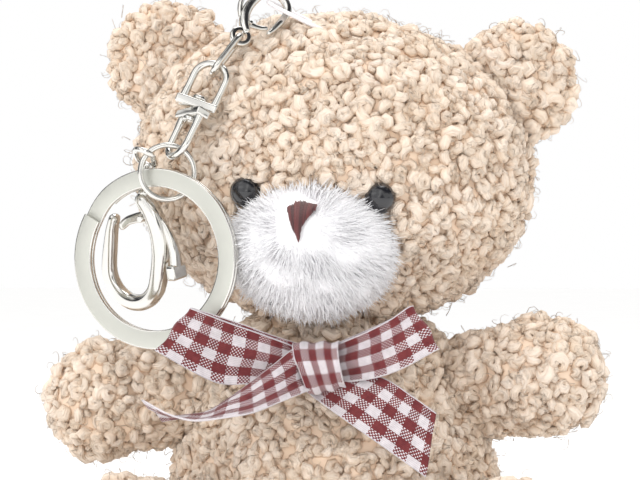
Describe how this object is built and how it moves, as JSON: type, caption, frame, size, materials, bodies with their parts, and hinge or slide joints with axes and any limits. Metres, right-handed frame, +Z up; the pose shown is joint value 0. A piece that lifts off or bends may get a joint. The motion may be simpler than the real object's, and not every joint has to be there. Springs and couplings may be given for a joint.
{
  "type": "plush bear keychain",
  "caption": "Sitting curly plush bear with a gingham ribbon bow, hung from a small lobster clasp with a swivel, a flat split key ring and a larger lobster clasp.",
  "frame": {"origin": "centre of the flat seat under the body", "axes": "+Z up through the head, -Y the way the bear faces, +X to the bear's left hand side"},
  "size_m": [0.097, 0.0707, 0.1069],
  "materials": {
    "boucle": "curly looped pile",
    "white_plush": "short brushed pile",
    "stuffing": "loose fibre",
    "gingham": "woven check ribbon",
    "embroidery": "satin stitch",
    "black_bead": "gloss",
    "washer_plastic": "moulded",
    "satin_cord": "satin",
    "nickel": "polished nickel plate"
  },
  "bodies": {
    "bear": {"head_cover": "boucle", "head_stuffing": "stuffing", "ear_left": "boucle", "ear_right": "boucle", "muzzle_cover": "white_plush", "muzzle_stuffing": "stuffing", "nose_embroidery": "embroidery", "eye_left": "black_bead", "eye_right": "black_bead", "eye_washer_left": "washer_plastic", "eye_washer_right": "washer_plastic", "body_cover": "boucle", "body_stuffing": "stuffing", "bow_knot": "gingham", "bow_loop_left": "gingham", "bow_loop_right": "gingham", "bow_tail_left": "gingham", "bow_tail_right": "gingham", "hang_loop": "satin_cord"},
    "arm_left": {"arm_left_cover": "boucle", "arm_left_stuffing": "stuffing"},
    "arm_right": {"arm_right_cover": "boucle", "arm_right_stuffing": "stuffing"},
    "leg_left": {"leg_left_cover": "boucle", "leg_left_stuffing": "stuffing", "leg_left_sole": "white_plush"},
    "leg_right": {"leg_right_cover": "boucle", "leg_right_stuffing": "stuffing", "leg_right_sole": "white_plush"},
    "small_clasp": {"small_clasp_body": "nickel", "small_clasp_pin": "nickel"},
    "small_clasp_lever": {"small_clasp_lever": "nickel"},
    "link": {"chain_link": "nickel"},
    "swivel_top": {"swivel_upper": "nickel", "swivel_rivet": "nickel"},
    "swivel_bottom": {"swivel_lower": "nickel"},
    "jump_ring": {"jump_ring": "nickel"},
    "key_ring": {"key_ring": "nickel"},
    "large_clasp_eye": {"large_clasp_eye": "nickel"},
    "large_clasp": {"large_clasp_body": "nickel", "large_clasp_pin": "nickel"},
    "large_clasp_lever": {"large_clasp_lever": "nickel"}
  },
  "joints": [
    {"name": "arm_left_flex", "type": "hinge", "parent": "bear", "child": "arm_left", "pos_m": [-0.0275, -0.003, 0.0378], "axis": [0, 1, 0], "range_deg": [-15, 15], "stiffness_Nm_per_rad": 0.02},
    {"name": "arm_right_flex", "type": "hinge", "parent": "bear", "child": "arm_right", "pos_m": [0.027, -0.003, 0.0395], "axis": [0, 1, 0], "range_deg": [-15, 15], "stiffness_Nm_per_rad": 0.02},
    {"name": "leg_left_flex", "type": "hinge", "parent": "bear", "child": "leg_left", "pos_m": [-0.0203, -0.017, 0.0128], "axis": [0.7885, -0.615, 0], "range_deg": [-10, 12], "stiffness_Nm_per_rad": 0.05},
    {"name": "leg_right_flex", "type": "hinge", "parent": "bear", "child": "leg_right", "pos_m": [0.0203, -0.017, 0.0128], "axis": [0.7885, 0.615, 0], "range_deg": [-10, 12], "stiffness_Nm_per_rad": 0.05},
    {"name": "small_clasp_swing", "type": "hinge", "parent": "bear", "child": "small_clasp", "pos_m": [-0.00941, -0.01248, 0.10333], "axis": [-0.4245, 0.8226, -0.3784], "range_deg": [0, 25]},
    {"name": "small_clasp_press", "type": "hinge", "parent": "small_clasp", "child": "small_clasp_lever", "pos_m": [-0.0127, -0.01553, 0.10037], "axis": [0.4245, -0.8226, 0.3784], "range_deg": [0, 25], "stiffness_Nm_per_rad": 0.002},
    {"name": "link_swing", "type": "hinge", "parent": "small_clasp", "child": "link", "pos_m": [-0.0141, -0.0173, 0.0981], "axis": [-0.4245, 0.8226, -0.3784], "range_deg": [0, 25]},
    {"name": "swivel_swing", "type": "hinge", "parent": "link", "child": "swivel_top", "pos_m": [-0.0186, -0.022, 0.09089], "axis": [0, 0.9234, -0.3838], "range_deg": [0, 25]},
    {"name": "swivel_turn", "type": "hinge", "parent": "swivel_top", "child": "swivel_bottom", "pos_m": [-0.0208, -0.0242, 0.0856], "axis": [0.3583, 0.3583, 0.8621], "range_deg": [0, 30]},
    {"name": "jump_ring_swing", "type": "hinge", "parent": "swivel_bottom", "child": "jump_ring", "pos_m": [-0.023, -0.0264, 0.08031], "axis": [0.6938, 0.5157, -0.5027], "range_deg": [0, 25]},
    {"name": "key_ring_swing", "type": "hinge", "parent": "jump_ring", "child": "key_ring", "pos_m": [-0.0249, -0.0275, 0.0752], "axis": [0.2419, -0.9703, 0], "range_deg": [0, 5]},
    {"name": "large_clasp_swing", "type": "hinge", "parent": "jump_ring", "child": "large_clasp_eye", "pos_m": [-0.0249, -0.0275, 0.0752], "axis": [-0.2419, 0.9703, 0], "range_deg": [0, 6]},
    {"name": "large_clasp_turn", "type": "hinge", "parent": "large_clasp_eye", "child": "large_clasp", "pos_m": [-0.0287, -0.0246, 0.07645], "axis": [0.1733, -0.3414, 0.9238], "range_deg": [-90, 15]},
    {"name": "large_clasp_press", "type": "hinge", "parent": "large_clasp", "child": "large_clasp_lever", "pos_m": [-0.02952, -0.02189, 0.06775], "axis": [-0.5182, -0.8293, -0.2093], "range_deg": [0, 25], "stiffness_Nm_per_rad": 0.004}
  ]
}
